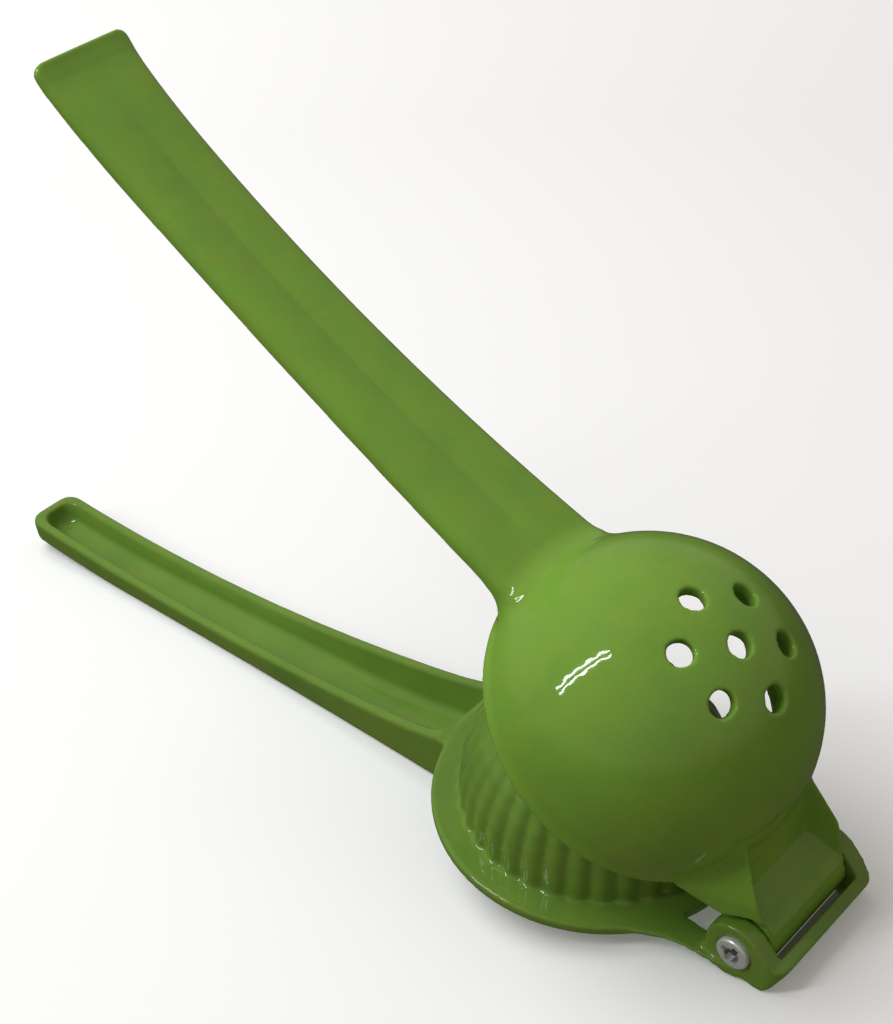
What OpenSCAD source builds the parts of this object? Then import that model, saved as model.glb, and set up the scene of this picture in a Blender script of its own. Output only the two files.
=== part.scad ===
// Hand citrus squeezer: two cast halves hinged on a screwed barrel.
// The press half lies on the table along X, hinge at +X, and the strainer half stands open over it.

/* [Pose] */
// Angle between the two halves, degrees
open_deg = 32.3; // [0:1:90]
// Angle of the press ring over the table, degrees
tilt_deg = 8; // [7:0.5:9]

/* [Bowl] */
// Outer radius of the strainer bowl
bowl_r = 31; // [30.6:0.1:31.4]
// Thickness of the bowl wall
bowl_wall = 2.6; // [2:0.1:3]
// Height of the bowl's centre over the underside of the press ring, shut
bowl_centre_z = 11.85; // [11.5:0.1:12.5]
// Height of the bowl's rim over the underside of the press ring, shut
bowl_rim_z = 8.75; // [8:0.25:9.5]
// How far the rim flares out past the bowl
rim_flare = 0.5; // [0.2:0.1:0.8]
// Height over which it flares
rim_flare_h = 6; // [5:0.5:7]
// Diameter of each juice hole
juice_hole_d = 4.7; // [3.5:0.1:5]
// Number of juice holes in the ring round the middle one
juice_holes = 6; // [4:1:6]
// Angle of the ring of juice holes from the bowl's axis, degrees
juice_hole_deg = 20.3; // [18:0.5:22]

/* [Strainer handle] */
// Distance of the handle's tip from the bowl's axis
top_reach = 161.8; // [155:1:170]
// Height of the handle's face at the tip, over the underside of the press ring
top_low_z = 3.6; // [3:0.1:4.5]
// Bend radius of the handle's face
top_bend_r = 574; // [550:2:600]
// Width of the handle at its narrowest
top_waist_w = 20.4; // [19:0.1:22]
// Distance of the narrowest place from the bowl's axis
top_waist_x = 111.3; // [105:1:120]
// Radius of each long edge seen from above
top_side_r = 1370; // [1300:10:1500]
// Depth of the handle's side walls
top_side_h = 4.4; // [4:0.1:5]
// Depth of the handle at its tip
top_tip_h = 2.4; // [2.4:0.1:3]
// Thickness of the handle's face and walls
top_wall = 2.2; // [1.8:0.1:2.4]
// Radius of the handle's shoulders
top_shoulder_r = 3.2; // [2.6:0.1:3.4]
// Depth of the groove along the middle of the face
top_groove = 0.75; // [0.3:0.05:1]
// Height of the lip across the handle's tip
top_lip = 1; // [0.4:0.1:1.4]
// Extra width on each side at the tip
top_flare = 0.3; // [0:0.1:0.8]
// Radius of the fillets between the handle's sides and the bowl
neck_side_r = 6; // [5:0.5:7]
// Radius of the fillet between the handle's face and the bowl
neck_face_r = 6; // [5:0.5:7]

/* [Press ring and dome] */
// How far the press ring stands out past the bowl
ring_over = 0.8; // [0.6:0.1:1.2]
// Thickness of the press ring
ring_t = 2.4; // [2.2:0.1:2.8]
// Gap between the dome and the inside of the bowl
press_gap = 1.8; // [1.6:0.1:2.2]
// Height of the dome's centre over the underside of the ring
dome_centre_z = 5.6; // [5:0.1:6.5]
// Thickness of the dome's wall
dome_wall = 3; // [2.6:0.1:3.4]
// Number of flutes round the dome
flutes = 36; // [24:1:40]
// Depth of each flute at the foot of the dome
flute_depth = 0.85; // [0.4:0.05:1.1]

/* [Press handle] */
// Distance of the handle's tip from the ring's axis, along the table
low_reach = 169.8; // [160:1:175]
// Height of the rim at its lowest over the table
low_rim_z = 5.4; // [5:0.1:6]
// Distance of that lowest place from the ring's axis
low_rim_x = 115; // [110:1:120]
// Bend radius of the rim
low_bend_r = 534; // [510:2:560]
// Width of the handle at its tip
low_tip_w = 13.4; // [12.5:0.1:15]
// Radius of each long side seen from above
low_side_r = 2950; // [2700:50:3300]
// Width of the rim beside the channel
low_rim_w = 2.2; // [1.8:0.1:2.6]
// Thickness of the floor of the channel
low_floor = 1.1; // [1:0.1:1.6]
// How much thicker the floor is at the ring
low_floor_rise = 3; // [1.5:0.1:4]
// How far each side leans in from the rim to the table
low_draft = 0.4; // [0.2:0.1:0.8]
// How far the underside lifts at the tip
low_tip_lift = 2.6; // [1.5:0.1:3]
// Length over which it lifts
low_tip_len = 40; // [30:1:50]

/* [Hinge] */
// Distance of the hinge axis from the bowl's side
hinge_out = 11.2; // [11:0.1:11.4]
// Height of the hinge axis over the underside of the ring
hinge_z = 6.3; // [6.2:0.1:6.4]
// Overall width of the two ears
clevis_w = 31.3; // [31:0.1:31.6]
// Thickness of each ear
ear_t = 3.5; // [3.2:0.1:3.6]
// Radius of the round top of each ear
ear_r = 6.1; // [6:0.1:6.2]
// Gap between the lug and each ear
side_gap = 0.35; // [0.3:0.05:0.6]
// Radius of the round end of the lug
lug_r = 5.6; // [5.4:0.05:5.7]
// Diameter of the hinge barrel
barrel_d = 5; // [4.6:0.1:5.2]
// Running clearance on radius between the lug and the barrel
run_gap = 0.05; // [0.03:0.01:0.08]
// Diameter of the heads of the screw and the barrel
head_d = 6.6; // [6.2:0.1:7]
// Height of each head
head_h = 1.7; // [1.4:0.1:1.8]
// How far each head stands out of its ear
head_proud = 0.8; // [0.5:0.1:0.9]
// Diameter of the screw's shank
shank_d = 3; // [2.5:0.1:3.2]

/* [Hidden] */
eps = 0.01;
$fn = 64;
barrel_r = barrel_d / 2;
head_r = head_d / 2;
shank_r = shank_d / 2;
head_seat = clevis_w / 2 - (head_h - head_proud);
window_w = clevis_w - 2 * ear_t;
lug_w = window_w - 2 * side_gap;
ring_r = bowl_r + ring_over;
dome_r = bowl_r - bowl_wall - press_gap;
hinge_x = bowl_r + hinge_out;
big = 3 * ring_r;

// Shares of a length, for smooth runs from 0 to 1
function clamp(v) = min(1, max(0, v));
function quarter(u) = sqrt(max(0, 1 - pow(1 - clamp(u), 2)));
function ease(u) = pow(clamp(u), 2);

// Where the ring's frame lies over the table
foot_x = hinge_x + 5.3;
foot_z = 0.33;
ring_lift = foot_x * sin(tilt_deg) - foot_z * cos(tilt_deg);
function to_table_x(x, z) = x * cos(tilt_deg) + z * sin(tilt_deg);
function to_table_z(x, z) = z * cos(tilt_deg) - x * sin(tilt_deg) + ring_lift;
function ring_top_z(x) = to_table_z(x / cos(tilt_deg), ring_t);

// Middle of the whole object along X, so that it stands centred on the origin
bar_out_x = hinge_x + 9.7;
bar_out_z = 6.3;
centre_x = (to_table_x(bar_out_x, bar_out_z) - low_reach) / 2;

// A skin over convex-ended sections that hold the same number of points, walked in the same turn
module skin(sections) {
  n = len(sections[0]);
  last = len(sections) - 1;
  points = [for (s = sections) for (p = s) p];
  sides = [for (i = [0:last - 1]) for (j = [0:n - 1])
    let (a = i * n + j, b = i * n + (j + 1) % n, c = b + n, d = a + n)
    for (t = [[a, b, c], [a, c, d]]) t];
  caps = [[for (j = [n - 1:-1:0]) j], [for (j = [0:n - 1]) j + last * n]];
  polyhedron(points = points, faces = concat(sides, caps), convexity = 6);
}

// Both sides of a half outline given as [distance from the middle, height] from edge to middle,
// starting on the side named by the sign
function both(half, side) = concat(
  [for (p = half) [side * p[0], p[1]]],
  [for (i = [len(half) - 1:-1:0]) if (half[i][0] > 0) [-side * half[i][0], half[i][1]]]);
function section(half, x, side) = [for (p = both(half, side)) [x, p[0], p[1]]];
// Points of a rounded corner about [cy, cz]
function corner(cy, cz, r, from, to, steps) = [for (i = [0:steps])
  let (a = from + (to - from) * i / steps) [cy + r * cos(a), cz + r * sin(a)]];

corner_steps = 4;
edge_r = 0.5;
cut_over = 0.3;

// Press handle: an open channel that lies on the table
low_tip = -low_reach;
channel_start = low_tip + low_rim_w;
channel_end = to_table_x(-ring_r, 0) - 0.5;
rim_drop = 0.3;
heel_len = 5.6;
heel_end = channel_end + heel_len;
heel_rise = ring_top_z(heel_end) - ring_t / 2;
channel_corner_r = 4;
channel_pinch = 0.6 * channel_corner_r;
channel_fillet = 2.2;
channel_lean = 0.1;
floor_rise_len = 35;
low_tip_r = 3.2;
low_tip_edge = 0.8;
low_edge_r = 0.9;
low_corner_r = 1;
rim_blend = 14;

function low_parabola(x) = low_rim_z + pow(x + low_rim_x, 2) / (2 * low_bend_r);
function low_rim_gap() = ring_top_z(channel_end) - rim_drop - low_parabola(channel_end);
function low_rim(x) = min(ring_top_z(x) - rim_drop,
  low_parabola(x) + low_rim_gap() * ease((x - channel_end + rim_blend) / rim_blend));
function low_half(x) = low_tip_w / 2 + pow(x - low_tip, 2) / (2 * low_side_r);
function low_end_share(x, r) = min(quarter((x - channel_start) / r), quarter((channel_end - x) / r));
function low_in(x) = low_half(x) - low_rim_w - channel_pinch * (1 - low_end_share(x, channel_corner_r));
function low_out(x) = low_half(x) - low_tip_r * (1 - quarter((x - low_tip) / low_tip_r));
function low_base(x) = low_tip_lift * ease((low_tip + low_tip_len - x) / low_tip_len)
  + low_tip_edge * (1 - quarter((x - low_tip) / low_tip_edge))
  + heel_rise * (1 - quarter(1 - (x - channel_end) / heel_len));
function low_floor_t(x) = low_floor + low_floor_rise * ease((x - channel_end + floor_rise_len) / floor_rise_len);
function low_room(x) = low_rim(x) - low_base(x) - low_floor_t(x);

function low_outer(x) = let (w = low_out(x), t = low_rim(x), b = low_base(x), e = min(low_edge_r, (t - b) / 3),
  r = min(low_corner_r, (t - b - e) / 2), d = low_draft * (t - b) / low_rim(channel_end))
  concat(
    corner(w - e, t - e, e, 90, 0, 3),
    corner(w - d - r, b + r, r, 0, -90, 3));
function low_inner(x) = let (w = low_in(x), t = low_rim(x), full = max(channel_fillet + edge_r, low_room(x)),
  lean = channel_lean * full, r = min(channel_fillet, w - lean - 1.5 * edge_r),
  share = low_end_share(x, channel_fillet),
  k = (low_room(x) * share - cut_over * (1 - share)) / full)
  concat(
    [[w + 2 * edge_r, t + 2 * edge_r], [w - edge_r / 4, t - k * edge_r]],
    [for (p = corner(w - edge_r - lean - r, r - full, r, 0, -90, corner_steps)) [p[0], t + k * p[1]]]);

function steps(from, to, n) = [for (i = [0:n - 1]) from + (to - from) * i / n];
function early(from, len, n) = [for (i = [0:n - 1]) from + len * (1 - cos(90 * i / n))];
function late(to, len, n) = [for (i = [0:n - 1]) to - len * cos(90 * i / n)];
run_a = channel_start + channel_corner_r;
run_b = channel_end - channel_corner_r;
low_stations = concat(early(low_tip, low_tip_r, 6), steps(low_tip + low_tip_r, run_b, 24),
  steps(run_b, channel_end, 2), late(heel_end, heel_end - channel_end, 6), [heel_end]);
channel_stations = concat(early(channel_start, channel_corner_r, 7), steps(run_a, run_b, 22),
  late(channel_end, channel_corner_r, 7), [channel_end]);

module press_handle() {
  difference() {
    skin([for (x = low_stations) section(low_outer(x), x, 1)]);
    skin([for (x = channel_stations) section(low_inner(x), x, 1)]);
  }
}

// Strainer handle: a channel open underneath, drawn shut
top_tip = -top_reach;
top_end = -bowl_r + 5;
top_tip_r = 2;
tip_taper_len = 27;
tip_solid_len = 10;
crest_y = 5;
crest_fall = 0.2;
groove_fade = 26;
groove_stop = 4;
groove_end_len = 7;
lip_len = 7;
top_chan_r = 3;
chan_corner_r = 1.2;
top_chan_start = top_tip + tip_solid_len;

function top_plain(x) = top_low_z + pow(x - top_tip, 2) / (2 * top_bend_r)
  + top_lip * ease((top_tip + lip_len - x) / lip_len);
function top_h(x) = top_side_h - (top_side_h - top_tip_h) * ease((top_tip + tip_taper_len - x) / tip_taper_len);
function top_straight(x) = top_waist_w / 2 + pow(x + top_waist_x, 2) / (2 * top_side_r)
  + top_flare * ease((top_tip + 2 * lip_len - x) / (2 * lip_len))
  - top_tip_r * (1 - quarter((x - top_tip) / top_tip_r));
function groove_at(x) = top_groove * clamp((x - top_tip - lip_len) / groove_fade)
  * clamp((-bowl_r - groove_stop - x) / groove_end_len);

// How far a fillet of radius r has risen at distance u past its start
function fillet(u, r) = r * (1 - sqrt(1 - pow(clamp(u / r), 2)));
// The fillets are those of a ball that rolls round the bowl, on the handle's sides and on its face.
// They end a little inside the bowl, so that they cross its skin
neck_z = top_plain(-bowl_r) - top_side_h / 2 - bowl_centre_z;
tuck = 0.6;
sunk_r = bowl_r - tuck;
side_start = sqrt(pow(sunk_r + neck_side_r, 2) - pow(top_straight(-bowl_r) + neck_side_r, 2) - pow(neck_z, 2));
face_up = top_plain(-bowl_r - neck_face_r / 2) + neck_face_r - bowl_centre_z;
face_start = sqrt(pow(sunk_r + neck_face_r, 2) - pow(face_up, 2));
face_stop = face_start * sunk_r / (sunk_r + neck_face_r);
function bowl_reach(a, b) = sqrt(max(0, pow(sunk_r, 2) - pow(a, 2) - pow(b, 2)));
function top_half(x) = let (flared = top_straight(x) + fillet(x + side_start, neck_side_r))
  x < -bowl_r + 2 ? flared : min(flared, bowl_reach(x, neck_z));
// A point of the face, lifted by the fillet round the bowl
function lifted(x, y, z) = let (far = norm([x, y]), up = z + fillet(face_start - far, neck_face_r))
  [y, far > face_stop ? up : min(up, bowl_centre_z + bowl_reach(far, 0))];

function top_outer(x) = let (w = top_half(x), t = top_plain(x), g = groove_at(x), h = top_h(x),
  r = min(top_shoulder_r, h - crest_fall - 2 * edge_r))
  concat(
    [[w - edge_r, t - h], [w, t - h + edge_r]],
    [for (p = concat(
      corner(w - r, t - crest_fall - r, r, 0, 90, 5),
      [[(w - r + crest_y) / 2, t - crest_fall / 4]],
      [for (i = [0:4]) [crest_y * (1 - i / 4), t - g * pow(i / 4, 2)]])) lifted(x, p[0], p[1])]);
function top_inner(x) = let (w = top_straight(x) - top_wall, h = top_h(x), z = top_plain(x) - h,
  full = h - top_wall, share = quarter((x - top_chan_start) / top_chan_r),
  k = share - cut_over * (1 - share), r = chan_corner_r)
  concat(
    [[w + 2 * edge_r, z - 2 * edge_r]],
    [for (p = corner(w - r, full - r, r, 0, 90, corner_steps)) [p[0], z + k * p[1]]]);

top_run = top_tip + top_tip_r;
neck_from = -face_start - 1;
top_stations = concat(early(top_tip, top_tip_r, 5), steps(top_run, top_tip + tip_taper_len, 9),
  steps(top_tip + tip_taper_len, neck_from, 18), steps(neck_from, top_end, 18), [top_end]);
hollow_stations = concat(early(top_chan_start, top_chan_r, 6),
  steps(top_chan_start + top_chan_r, top_end + eps, 24), [top_end + 1]);

module strainer_handle() {
  difference() {
    skin([for (x = top_stations) section(top_outer(x), x, -1)]);
    skin([for (x = hollow_stations) section(top_inner(x), x, -1)]);
  }
}

// Places
module at_hinge() {
  translate([hinge_x, 0, hinge_z]) children();
}
module ring_frame() {
  translate([-centre_x, 0, ring_lift]) rotate([0, tilt_deg, 0]) children();
}
module open_frame() {
  ring_frame() at_hinge() rotate([0, open_deg, 0]) translate([-hinge_x, 0, -hinge_z]) children();
}
// A flat outline in X and Z, made w thick and centred on Y
module across(w) {
  translate([0, w / 2, 0]) rotate([90, 0, 0]) linear_extrude(w) children();
}
module axle(r, from, to) {
  at_hinge() translate([0, from, 0]) rotate([-90, 0, 0]) cylinder(r = r, h = to - from);
}

// Bowl, whose rim flares a little
module bowl_body() {
  flare_z = bowl_rim_z + rim_flare_h;
  rim_r = bowl_r + rim_flare;
  translate([0, 0, bowl_centre_z]) difference() {
    sphere(bowl_r);
    translate([0, 0, -big + bowl_rim_z - bowl_centre_z]) cylinder(r = big, h = big);
  }
  rotate_extrude() polygon(concat(
    [[bowl_r - bowl_wall, bowl_rim_z]],
    corner(rim_r - edge_r, bowl_rim_z + edge_r, edge_r, -90, 0, 3),
    [[bowl_reach(flare_z - bowl_centre_z, 0), flare_z], [bowl_r - bowl_wall, flare_z]]));
}
module bowl_hollow() {
  translate([0, 0, bowl_centre_z]) {
    sphere(bowl_r - bowl_wall);
    cylinder(r = juice_hole_d / 2, h = big);
    for (i = [0:juice_holes - 1]) rotate([0, 0, i * 360 / juice_holes]) rotate([0, juice_hole_deg, 0])
      cylinder(r = juice_hole_d / 2, h = big);
  }
}

// Bracket from the bowl to the hinge, drawn shut. Its two ridges run from the bowl over a knee to the lug's nose.
// Each place is [x, half width, z]
lug_half = lug_w / 2;
ridge_top = [bowl_r - 3.1, 10.2, 21.7];
ridge_knee = [hinge_x - 4.3, 12.8, 16.2];
nose = [hinge_x + 2.1, lug_half, hinge_z + 5.4];
foot = [[bowl_r - 5, 18.1], [bowl_r + 0.2, 15.9], [hinge_x - 7.6, 13.4], [hinge_x - 5.9, lug_half]];
foot_t = 1.2;
ridge_t = 0.5;
crease = [hinge_x - 6, 9.2, 11.6];
web_top = [bowl_r - 4, 8.8, 21.4];
// Where the pocket between the ridges opens out above them
pocket_rim = [[bowl_r - 5, 11.5, 28], [hinge_x - 4, 13.5, 19.2], [nose[0] + 2, 12.4, nose[2] + 4]];
relief_gap = 1.3;

// A bar across the bracket, whose top edge lies at the place given
module bar(place, t) {
  translate([place[0] - t / 2, -place[1], place[2] - t]) cube([t, 2 * place[1], t]);
}
module bracket() {
  difference() {
    hull() {
      translate([0, 0, bowl_rim_z]) linear_extrude(foot_t) polygon(concat(foot, [for (i = [3:-1:0]) [foot[i][0], -foot[i][1]]]));
      bar(ridge_top, ridge_t);
      bar(ridge_knee, ridge_t);
      bar(nose, ridge_t);
    }
    hull() {
      bar(crease, ridge_t);
      bar(web_top, ridge_t);
      bar(nose + [2, -ridge_t, 0], ridge_t);
      for (p = pocket_rim) bar(p, ridge_t);
    }
  }
}
module lug() {
  across(lug_w) polygon([[crease[0] - 2, crease[2]], [crease[0], crease[2]], [nose[0], nose[2]],
    [hinge_x + lug_r * 0.8, hinge_z], [hinge_x, hinge_z - lug_r * 0.5],
    [hinge_x - lug_r * 0.85, hinge_z - lug_r * 0.4], [foot[1][0], bowl_rim_z]]);
  axle(lug_r, -lug_half, lug_half);
}

module strainer_half() {
  color("yellowgreen") open_frame() difference() {
    union() {
      bowl_body();
      strainer_handle();
      lug();
      bracket();
    }
    bowl_hollow();
    axle(ear_r + relief_gap, lug_half, clevis_w);
    axle(ear_r + relief_gap, -clevis_w, -lug_half);
    axle(barrel_r + run_gap, -lug_w, lug_w);
  }
}

// Press ring, fluted dome and the clevis of the hinge
flute_top_deg = 75;
flute_points = 5;
foot_r = 0.9;
foot_steps = 4;
dome_steps = 11;
dome_low_z = ring_t / 2;
around = flutes * flute_points;
dome_turn = 180 / flutes;
ring_in = dome_r - dome_wall;
ring_edge_r = 0.6;
function dome_ring_z() = concat(
  [dome_low_z],
  [for (i = [0:foot_steps]) ring_t + foot_r * (1 - cos(90 * i / foot_steps))],
  [let (low = asin((ring_t + foot_r - dome_centre_z) / dome_r))
    for (i = [1:dome_steps - 1]) dome_centre_z + dome_r * sin(low + (90 - low) * i / dome_steps)]);
function dome_foot(z) = foot_r * (1 - quarter((z - ring_t) / foot_r));
function flute_at(z) = flute_depth * (1 - ease(asin((z - dome_centre_z) / dome_r) / flute_top_deg));
module dome() {
  heights = dome_ring_z();
  last = len(heights) - 1;
  apex = len(heights) * around;
  points = concat(
    [for (z = heights) for (j = [0:around - 1])
      let (turn = 180 * j / flute_points, rise = z - dome_centre_z,
        out = sqrt(pow(dome_r, 2) - pow(rise, 2)) - flute_at(z) * (1 - abs(sin(turn))) + dome_foot(z))
      [out * cos(dome_turn + 360 * j / around), out * sin(dome_turn + 360 * j / around), z]],
    [[0, 0, dome_centre_z + dome_r], [0, 0, dome_low_z]]);
  sides = [for (i = [0:last - 1]) for (j = [0:around - 1])
    let (a = i * around + j, b = i * around + (j + 1) % around, c = b + around, d = a + around)
    for (t = [[a, c, b], [a, d, c]]) t];
  caps = [for (j = [0:around - 1]) let (k = (j + 1) % around)
    for (t = [[last * around + j, apex, last * around + k], [j, k, apex + 1]]) t];
  polyhedron(points = points, faces = concat(sides, caps), convexity = 4);
}
module ring_body() {
  rotate_extrude() polygon(concat(
    [[ring_in, 0]],
    corner(ring_r - ring_edge_r, ring_edge_r, ring_edge_r, -90, 0, 3),
    corner(ring_r - ring_edge_r, ring_t - ring_edge_r, ring_edge_r, 0, 90, 3),
    [[ring_in, ring_t]]));
}
module dome_hollow() {
  rotate_extrude() union() {
    intersection() {
      translate([0, dome_centre_z]) circle(ring_in);
      square([big, big]);
    }
    polygon([[0, -ring_t], [ring_in + 0.8, -ring_t], [ring_in - 0.3, dome_centre_z + 1], [0, dome_centre_z + 1]]);
  }
}

ear_root_x = bowl_r - 8.5;
bar_in_x = hinge_x + 7.4;
bar_top_z = 6.9;
bar_under = [foot_x - 0.5, 2.2];
clevis_r = 3.6;
clevis_half = clevis_w / 2;
head_gap = 0.15;
// Where the arms widen towards the ring, seen from above
arm_plan = [[ear_root_x, 22.2], [hinge_x - 12.8, 18.5], [foot_x - 2, clevis_half],
  [foot_x - 2, window_w / 2], [ear_root_x, window_w / 2]];
module ear_outline() {
  polygon([[ear_root_x, 0.8], [ring_r - 1.3, 1.6], [hinge_x - 8.8, 1.9], [foot_x, foot_z], [foot_x + 1.5, 0.95], [foot_x + 2.3, 2],
    [bar_out_x, bar_out_z], [bar_out_x - 0.5, bar_top_z], [bar_in_x + 0.5, bar_top_z + 0.1],
    [hinge_x + ear_r * sin(45), hinge_z + ear_r * cos(45)], [hinge_x, hinge_z],
    [hinge_x - ear_r * cos(15), hinge_z - ear_r * sin(15)], [hinge_x - ear_r - 0.7, ring_t], [ear_root_x, ring_t]]);
  translate([hinge_x, hinge_z]) circle(ear_r);
}
module clevis_plan() {
  translate([ear_root_x, -clevis_half]) square([bar_out_x - clevis_r - ear_root_x, clevis_w]);
  translate([ear_root_x, -clevis_half + clevis_r]) square([bar_out_x - ear_root_x, clevis_w - 2 * clevis_r]);
  for (s = [-1, 1]) translate([bar_out_x - clevis_r, s * (clevis_half - clevis_r)]) circle(clevis_r);
}
module clevis() {
  difference() {
    intersection() {
      across(2 * ring_r) ear_outline();
      translate([0, 0, -ring_r]) {
        linear_extrude(2 * ring_r) clevis_plan();
        linear_extrude(ring_r + ring_t) for (s = [-1, 1]) polygon([for (p = arm_plan) [p[0], s * p[1]]]);
      }
    }
    across(window_w) polygon([[ear_root_x - 1, -ring_t], bar_under - [1.8, 2.2 + ring_t], bar_under,
      [bar_in_x, bar_top_z], [bar_in_x, ring_r], [ear_root_x - 1, ring_r]]);
    axle(barrel_r + run_gap, -clevis_w, clevis_w);
    axle(head_r + head_gap, -clevis_w, -head_seat);
    axle(head_r + head_gap, head_seat, clevis_w);
  }
}
module press_half() {
  color("olivedrab") {
    ring_frame() {
      difference() {
        union() {
          ring_body();
          dome();
        }
        dome_hollow();
      }
      clevis();
    }
    translate([-centre_x, 0, 0]) press_handle();
  }
}

// Barrel nut with its head at +Y, and the screw that closes it at -Y
barrel_short = 0.3;
tap_depth = 12;
slot_w = 1.1;
slot_depth = 0.9;
recess_w = 1.2;
recess_len = 4.4;
recess_depth = 1.2;
recess_r = 1.3;
head_edge = 0.5;
module head(from, side) {
  at_hinge() translate([0, from, 0]) rotate([-90 * side, 0, 0]) rotate_extrude() polygon(concat(
    [[0, 0], [head_r, 0]],
    corner(head_r - head_edge, head_h - head_edge, head_edge, 0, 70, 3),
    [[0, head_h]]));
}
module pivot_barrel() {
  color("silver") ring_frame() difference() {
    union() {
      head(head_seat, 1);
      axle(barrel_r, -head_seat + barrel_short, head_seat + eps);
    }
    axle(shank_r + run_gap, -clevis_w, -head_seat + tap_depth);
    at_hinge() rotate([0, 30, 0]) translate([-head_d, head_seat + head_h - slot_depth, -slot_w / 2])
      cube([2 * head_d, head_h, slot_w]);
  }
}
module pivot_screw() {
  color("gainsboro") ring_frame() difference() {
    union() {
      head(-head_seat, -1);
      axle(shank_r, -head_seat - eps, -head_seat + tap_depth - barrel_short);
    }
    for (a = [20, 110]) at_hinge() rotate([0, a, 0])
      translate([-recess_len / 2, -head_seat - head_h - recess_depth, -recess_w / 2])
      cube([recess_len, 2 * recess_depth, recess_w]);
    axle(recess_r, -clevis_w, -head_seat - head_h + recess_depth);
  }
}

strainer_half();
press_half();
pivot_barrel();
pivot_screw();
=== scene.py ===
"""Looks of the hinged lemon squeezer: lime green enamel over cast aluminium, steel pivot."""

import math

import bpy
from mathutils import Matrix, Vector


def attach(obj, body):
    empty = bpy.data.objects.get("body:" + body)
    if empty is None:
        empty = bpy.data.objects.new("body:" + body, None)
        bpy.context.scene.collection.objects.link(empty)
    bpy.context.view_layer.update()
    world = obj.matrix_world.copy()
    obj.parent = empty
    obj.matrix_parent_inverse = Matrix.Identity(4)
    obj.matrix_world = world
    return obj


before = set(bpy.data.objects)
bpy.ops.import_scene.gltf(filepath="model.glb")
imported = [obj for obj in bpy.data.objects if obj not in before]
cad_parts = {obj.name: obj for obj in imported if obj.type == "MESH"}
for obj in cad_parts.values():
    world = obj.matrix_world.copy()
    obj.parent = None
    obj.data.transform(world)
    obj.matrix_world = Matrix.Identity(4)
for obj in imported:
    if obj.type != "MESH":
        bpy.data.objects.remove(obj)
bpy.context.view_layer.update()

MM = 0.001

# Camera, in the row frame
CAMERA_AT = Vector((229.43, -195.372, 262.233)) * MM
CAMERA_AZIMUTH = 45.945
CAMERA_ELEVATION = 35.448
CAMERA_ROLL = -7.095
CAMERA_LENS = 65.543
SENSOR = 36


def turned(azimuth, elevation, roll=0):
    """Matrix whose Z axis points back from what it looks at."""
    a, e = math.radians(azimuth), math.radians(elevation)
    back = Vector((math.sin(a) * math.cos(e), -math.cos(a) * math.cos(e), math.sin(e)))
    right = Vector((math.cos(a), math.sin(a), 0))
    up = back.cross(right)
    level = Matrix((right, up, back)).transposed()
    return level @ Matrix.Rotation(math.radians(roll), 3, "Z")


def make_camera():
    data = bpy.data.cameras.new("camera")
    data.sensor_width = SENSOR
    data.lens = CAMERA_LENS
    data.clip_start, data.clip_end = 0.01, 10
    camera = bpy.data.objects.new("camera", data)
    facing = turned(CAMERA_AZIMUTH, CAMERA_ELEVATION, CAMERA_ROLL).to_4x4()
    camera.matrix_world = Matrix.Translation(CAMERA_AT) @ facing
    bpy.context.scene.collection.objects.link(camera)
    bpy.context.scene.camera = camera


make_camera()


class Nodes:
    """A material or world whose nodes are made and joined in one call each."""

    def __init__(self, owner):
        owner.use_nodes = True
        self.tree = owner.node_tree
        self.tree.nodes.clear()

    def add(self, kind, inputs=None, **settings):
        node = self.tree.nodes.new(kind)
        for name, value in settings.items():
            setattr(node, name, value)
        for name, value in (inputs or {}).items():
            socket = node.inputs[name]
            if isinstance(value, bpy.types.NodeSocket):
                self.tree.links.new(value, socket)
            else:
                socket.default_value = value
        return node

    def noise(self, where, size, detail=2.0, roughness=0.5):
        """Noise with features of about that size, in metres."""
        made = self.add(
            "ShaderNodeTexNoise",
            {"Vector": where, "Scale": 1 / size, "Detail": detail, "Roughness": roughness},
        )
        return made.outputs["Fac"]

    def sums(self, kind, operation, *values):
        inputs = dict(enumerate(values))
        return self.add("ShaderNode%sMath" % kind, inputs, operation=operation)

    def span(self, value, low, high, to_low, to_high):
        bounds = {"From Min": low, "From Max": high, "To Min": to_low, "To Max": to_high}
        made = self.add("ShaderNodeMapRange", {"Value": value, **bounds})
        return made.outputs["Result"]

    def mix(self, share, a, b):
        made = self.add("ShaderNodeMix", data_type="RGBA", clamp_factor=True)
        for index, value in ((0, share), (6, a), (7, b)):
            socket = made.inputs[index]
            if isinstance(value, bpy.types.NodeSocket):
                self.tree.links.new(value, socket)
            else:
                socket.default_value = value
        return made.outputs[2]

    def bump(self, height, distance, strength=1.0, normal=None):
        inputs = {"Height": height, "Distance": distance, "Strength": strength}
        if normal is not None:
            inputs["Normal"] = normal
        return self.add("ShaderNodeBump", inputs).outputs["Normal"]


def rgb(r, g, b):
    return (r, g, b, 1)


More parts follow.
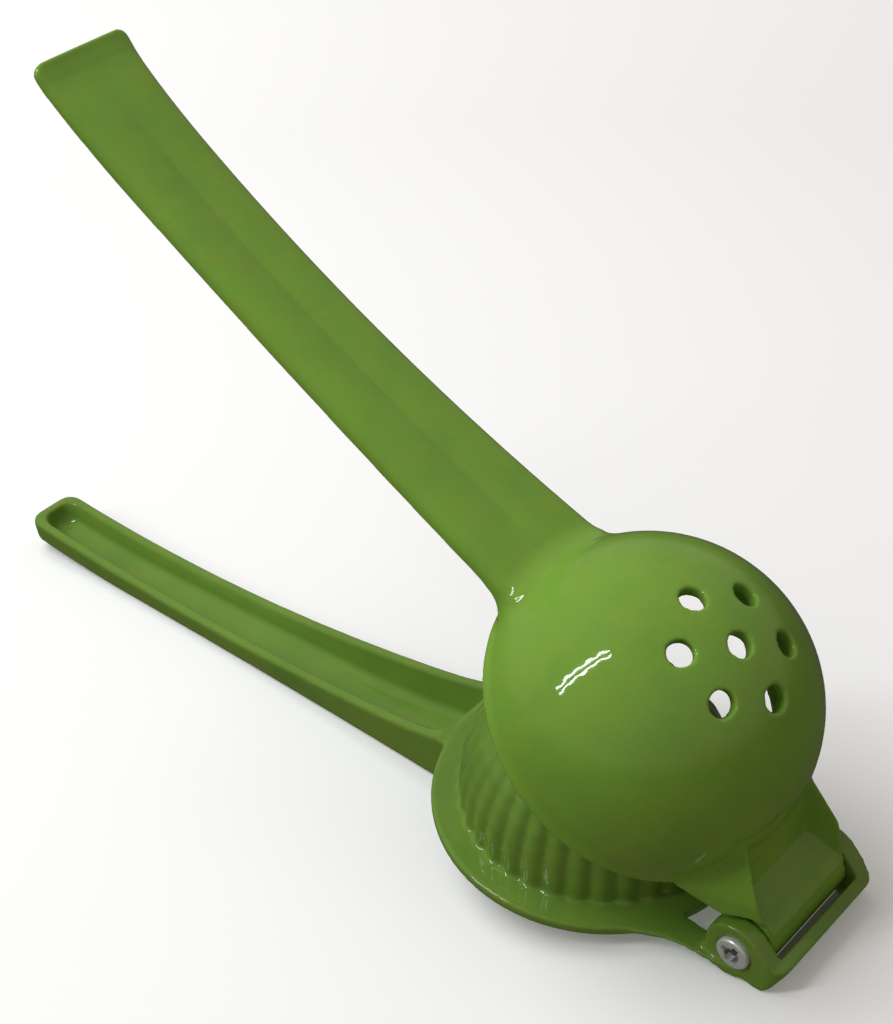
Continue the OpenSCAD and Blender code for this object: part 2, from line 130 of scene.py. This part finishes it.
def enamel(name, lit, deep):
    """Glossy enamel, a little uneven, with an orange-peel skin and a fine grain."""
    material = bpy.data.materials.new(name)
    n = Nodes(material)
    where = n.add("ShaderNodeTexCoord").outputs["Object"]
    flow = n.noise(where, 16 * MM, 3)
    olive = n.noise(where, 7 * MM, 4, 0.6)
    grain = n.noise(where, 0.35 * MM, 2, 0.7)
    speck = n.noise(where, 1.4 * MM, 4, 0.65)
    peel = n.noise(where, 2.6 * MM, 1)
    colour = n.mix(n.span(flow, 0.35, 0.65, 0, 1), rgb(*deep), rgb(*lit))
    yellowed = rgb(1.1 * lit[0], 0.94 * lit[1], 0.9 * lit[2])
    colour = n.mix(n.span(olive, 0.45, 0.65, 0, 0.8), colour, yellowed)
    darker = rgb(*(0.8 * c for c in deep))
    colour = n.mix(n.span(grain, 0.3, 0.75, 0.35, 0), colour, darker)
    colour = n.mix(n.span(speck, 0.62, 0.8, 0, 0.25), colour, darker)
    skin = n.bump(peel, 0.04 * MM, 0.4)
    skin = n.bump(grain, 0.004 * MM, 0.3, skin)
    surface = n.add(
        "ShaderNodeBsdfPrincipled",
        {
            "Base Color": colour,
            "Roughness": n.span(speck, 0.3, 0.7, 0.035, 0.07),
            "Normal": skin,
            "Specular IOR Level": 0.5,
        },
    )
    n.add("ShaderNodeOutputMaterial", {"Surface": surface.outputs["BSDF"]})
    return material


HINGE_AT = (101.43 * MM, 0, 6.65 * MM)  # any point of the hinge's axis


def steel(name):
    """Plain plated steel, scuffed, with painted shade of the cross recess in the middle of both
    heads.
    """
    material = bpy.data.materials.new(name)
    n = Nodes(material)
    where = n.add("ShaderNodeTexCoord").outputs["Object"]
    cloud = n.noise(where, 1.5 * MM, 4, 0.6)
    scuff = n.noise(where, 0.3 * MM, 3, 0.7)
    colour = n.mix(cloud, rgb(0.66, 0.72, 0.74), rgb(0.9, 0.95, 0.96))
    offset = n.sums("Vector", "SUBTRACT", where, HINGE_AT).outputs[0]
    across = n.sums("Vector", "MULTIPLY", offset, (1, 0, 1)).outputs[0]
    radius = n.sums("Vector", "LENGTH", across).outputs["Value"]
    ragged = n.sums("", "MULTIPLY_ADD", scuff, 0.8 * MM, radius).outputs[0]
    # painted shade: a dark, ragged disc around the pivot's axis on both heads stands in for the
    # shade in the cross recess
    painted_recess_shade = n.span(ragged, 1.5 * MM, 2.3 * MM, 0.9, 0)
    colour = n.mix(painted_recess_shade, colour, rgb(0.05, 0.045, 0.035))
    surface = n.add(
        "ShaderNodeBsdfPrincipled",
        {
            "Base Color": colour,
            "Metallic": 0.5,
            "Roughness": n.span(scuff, 0.3, 0.7, 0.28, 0.45),
            "Normal": n.bump(scuff, 0.02 * MM, 0.6),
        },
    )
    n.add("ShaderNodeOutputMaterial", {"Surface": surface.outputs["BSDF"]})
    return material


light_enamel = enamel("light_enamel", (0.19, 0.4, 0.047), (0.16, 0.345, 0.042))
# painted shade: the press half has the same lime green enamel as the strainer half, made darker
# here to stand in for the lower half getting less light
dark_enamel = enamel("dark_enamel", (0.155, 0.305, 0.042), (0.128, 0.262, 0.038))
pivot_steel = steel("pivot_steel")

MATERIALS = {
    "strainer_half": light_enamel,
    "press_half": dark_enamel,
    "pivot_barrel": pivot_steel,
    "pivot_screw": pivot_steel,
}

SKIN_VOXEL = 0.38 * MM
SKIN_PASSES = 8


def soften(obj):
    """Rounds every edge a little, as a casting under enamel has them."""
    remesh = obj.modifiers.new("cast_skin", "REMESH")
    remesh.mode = "VOXEL"
    remesh.voxel_size = SKIN_VOXEL
    remesh.use_smooth_shade = True
    smooth = obj.modifiers.new("enamel_flow", "SMOOTH")
    smooth.factor = 0.5
    smooth.iterations = SKIN_PASSES


# Neck of the strainer half, in mm from the bowl's centre, with X along the handle's face
BOWL_AT = Vector((72.835, 0, 38.177))
BOWL_R = 31.0
NECK_TILT = 27.65  # degrees, of the strainer handle's face at the bowl
NECK_HALF = 12.5  # half the handle's width
FACE_OUT = 13.28  # height of the face
FACE_DEPTH = 4.4  # from the face to the lower edge
EDGE_R = 0.5
SHOULDER_R = 3.2
SHOULDER_DROP = 0.2  # of the shoulder under the face
FACE_ROW = ((6.0, 0.1), (3.0, 0.05), (0.0, 0.1))  # Y and drop under the face
BALL_R = 7.0
BALL_STEPS = 8
SKIN_DEEP = 1.3  # thickness of the fillet's solid
SUNK = 0.15  # of the fillet's edges into handle and bowl
PAST = 0.5  # of those edges past the ball's tracks


def neck_profile():
    """Half of the handle's section, from the lower edge to the middle: Y, Z, normal's angle."""
    edge_z = FACE_OUT - FACE_DEPTH + EDGE_R
    lower = [(NECK_HALF - EDGE_R, edge_z, EDGE_R, a) for a in (-50, -25)]
    shoulder_z = FACE_OUT - SHOULDER_DROP - SHOULDER_R
    shoulder = [(NECK_HALF - SHOULDER_R, shoulder_z, SHOULDER_R, a) for a in range(0, 91, 15)]
    points = []
    for y, z, r, a in lower + shoulder:
        turn = math.radians(a)
        points.append((y + r * math.cos(turn), z + r * math.sin(turn), a))
    return points + [(y, FACE_OUT - drop, 90) for y, drop in FACE_ROW]


def neck_fillet():
    """Solid of the fillet that a ball leaves, rolled between handle and bowl."""
    half = neck_profile()
    profile = half + [(-y, z, 180 - a) for y, z, a in half[-2::-1]]
    rows = []
    for y, z, a in profile:
        out = Vector((0, math.cos(math.radians(a)), math.sin(math.radians(a))))
        foot = Vector((0, y, z)) + BALL_R * out
        ball = Vector((-math.sqrt((BOWL_R + BALL_R) ** 2 - foot.length_squared), foot.y, foot.z))
        on_bowl = -ball.normalized()
        angle = (-out).angle(on_bowl)
        skin, core = [], []
        for i in range(BALL_STEPS + 1):
            u = i / BALL_STEPS
            ray = (-out) * math.sin((1 - u) * angle) + on_bowl * math.sin(u * angle)
            ray.normalize()
            skin.append(ball + BALL_R * ray)
            core.append(ball + (BALL_R + SKIN_DEEP) * ray)
        first = skin[0] + Vector((-PAST, 0, 0)) - SUNK * out
        last = skin[-1] + PAST * (skin[-1] - skin[-2]).normalized()
        last = last.normalized() * (BOWL_R - SUNK)
        rows.append([first] + skin + [last] + core[::-1])
    mesh = bpy.data.meshes.new("neck_fillet")
    n = len(rows[0])
    points = [point for row in rows for point in row]
    faces = [
        (i * n + j, (i + 1) * n + j, (i + 1) * n + (j + 1) % n, i * n + (j + 1) % n)
        for i in range(len(rows) - 1)
        for j in range(n)
    ]
    faces += [tuple(range(n)), tuple((len(rows) - 1) * n + j for j in range(n))[::-1]]
    place = Matrix.Rotation(math.radians(NECK_TILT), 3, "Y")
    mesh.from_pydata([(place @ point + BOWL_AT) * MM for point in points], [], faces)
    fillet = bpy.data.objects.new("neck_fillet", mesh)
    bpy.context.scene.collection.objects.link(fillet)
    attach(fillet, "strainer")
    fillet.hide_render = True
    return fillet


def join_neck(obj):
    """Joins the fillet to the strainer half, whose mesh comes with loose vertices."""
    weld = obj.modifiers.new("weld", "WELD")
    weld.merge_threshold = 0.001 * MM
    union = obj.modifiers.new("neck", "BOOLEAN")
    union.operation = "UNION"
    union.solver = "EXACT"
    union.object = neck_fillet()


for name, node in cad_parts.items():
    node.data.materials.clear()
    node.data.materials.append(MATERIALS[name])

join_neck(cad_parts["strainer_half"])
for name in ("strainer_half", "press_half"):
    soften(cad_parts[name])

# Floor
FLOOR_SIZE = 6


def make_floor():
    mesh = bpy.data.meshes.new("floor")
    h = FLOOR_SIZE / 2
    mesh.from_pydata([(-h, -h, 0), (h, -h, 0), (h, h, 0), (-h, h, 0)], [], [(0, 1, 2, 3)])
    floor = bpy.data.objects.new("floor", mesh)
    material = bpy.data.materials.new("floor")
    n = Nodes(material)
    where = n.add("ShaderNodeTexCoord").outputs["Object"]
    tone = n.noise(where, 0.15, 2)
    away = n.sums("Vector", "LENGTH", where).outputs["Value"]
    surface = n.add(
        "ShaderNodeBsdfPrincipled",
        {
            "Base Color": n.mix(tone, rgb(0.86, 0.9, 0.92), rgb(0.88, 0.92, 0.94)),
            "Roughness": 0.9,
            "Emission Color": rgb(0.94, 0.98, 1),
            "Emission Strength": n.span(away, 0.3, 1.4, 0.12, 0.66),
        },
    )
    n.add("ShaderNodeOutputMaterial", {"Surface": surface.outputs["BSDF"]})
    mesh.materials.append(material)
    floor.visible_diffuse = False
    floor.visible_glossy = False
    bpy.context.scene.collection.objects.link(floor)


make_floor()

# Light: two tubes on the camera's left, a big soft panel over the handles and a dim warm room
AIM = Vector((73, 0, 38)) * MM
REACH = 0.9
TUBE_SIZE = (0.019, 0.64)
TUBE_ASIDE = 0.03
TUBE_POWER = 1.16
SOFT_SIZE = (0.7, 0.7)
SOFT_POWER = 4.9
ROOM_ABOVE = (0.34, 0.285, 0.25)
ROOM_BELOW = (0.26, 0.21, 0.17)
ROOM_BELOW_MIRRORED = (0.07, 0.065, 0.05)


def make_panel(name, azimuth, elevation, roll, aside, size, power):
    """Area light that faces the bowl from that side, moved sideways by aside."""
    data = bpy.data.lights.new(name, "AREA")
    data.shape = "RECTANGLE"
    data.size, data.size_y = size
    data.energy = power
    lamp = bpy.data.objects.new(name, data)
    facing = turned(azimuth, elevation, roll)
    place = AIM + facing.col[2] * REACH + facing.col[0] * aside
    lamp.matrix_world = Matrix.Translation(place) @ facing.to_4x4()
    bpy.context.scene.collection.objects.link(lamp)
    return lamp


for side in (-1, 1):
    aside = side * TUBE_ASIDE
    make_panel("tube_%d" % (side + 1), -29.8, 46.4, -9.3, aside, TUBE_SIZE, TUBE_POWER)
soft = make_panel("soft", -85, 55, 0, 0, SOFT_SIZE, SOFT_POWER)
soft.visible_glossy = False
soft.visible_camera = False


def make_world():
    world = bpy.data.worlds.new("world")
    bpy.context.scene.world = world
    n = Nodes(world)
    path = n.add("ShaderNodeLightPath").outputs
    where = n.add("ShaderNodeTexCoord").outputs["Generated"]
    height = n.add("ShaderNodeSeparateXYZ", {"Vector": where}).outputs["Z"]
    below = n.mix(path["Is Glossy Ray"], rgb(*ROOM_BELOW), rgb(*ROOM_BELOW_MIRRORED))
    glow = n.mix(n.span(height, -0.1, 0.1, 0, 1), below, rgb(*ROOM_ABOVE))
    room = n.add("ShaderNodeBackground", {"Color": glow, "Strength": 1.0})
    page = n.add("ShaderNodeBackground", {"Color": rgb(1, 1, 1), "Strength": 1.0})
    shares = {0: path["Is Camera Ray"], 1: room.outputs[0], 2: page.outputs[0]}
    both = n.add("ShaderNodeMixShader", shares)
    n.add("ShaderNodeOutputWorld", {"Surface": both.outputs[0]})


make_world()
bpy.context.scene.view_settings.view_transform = "Standard"
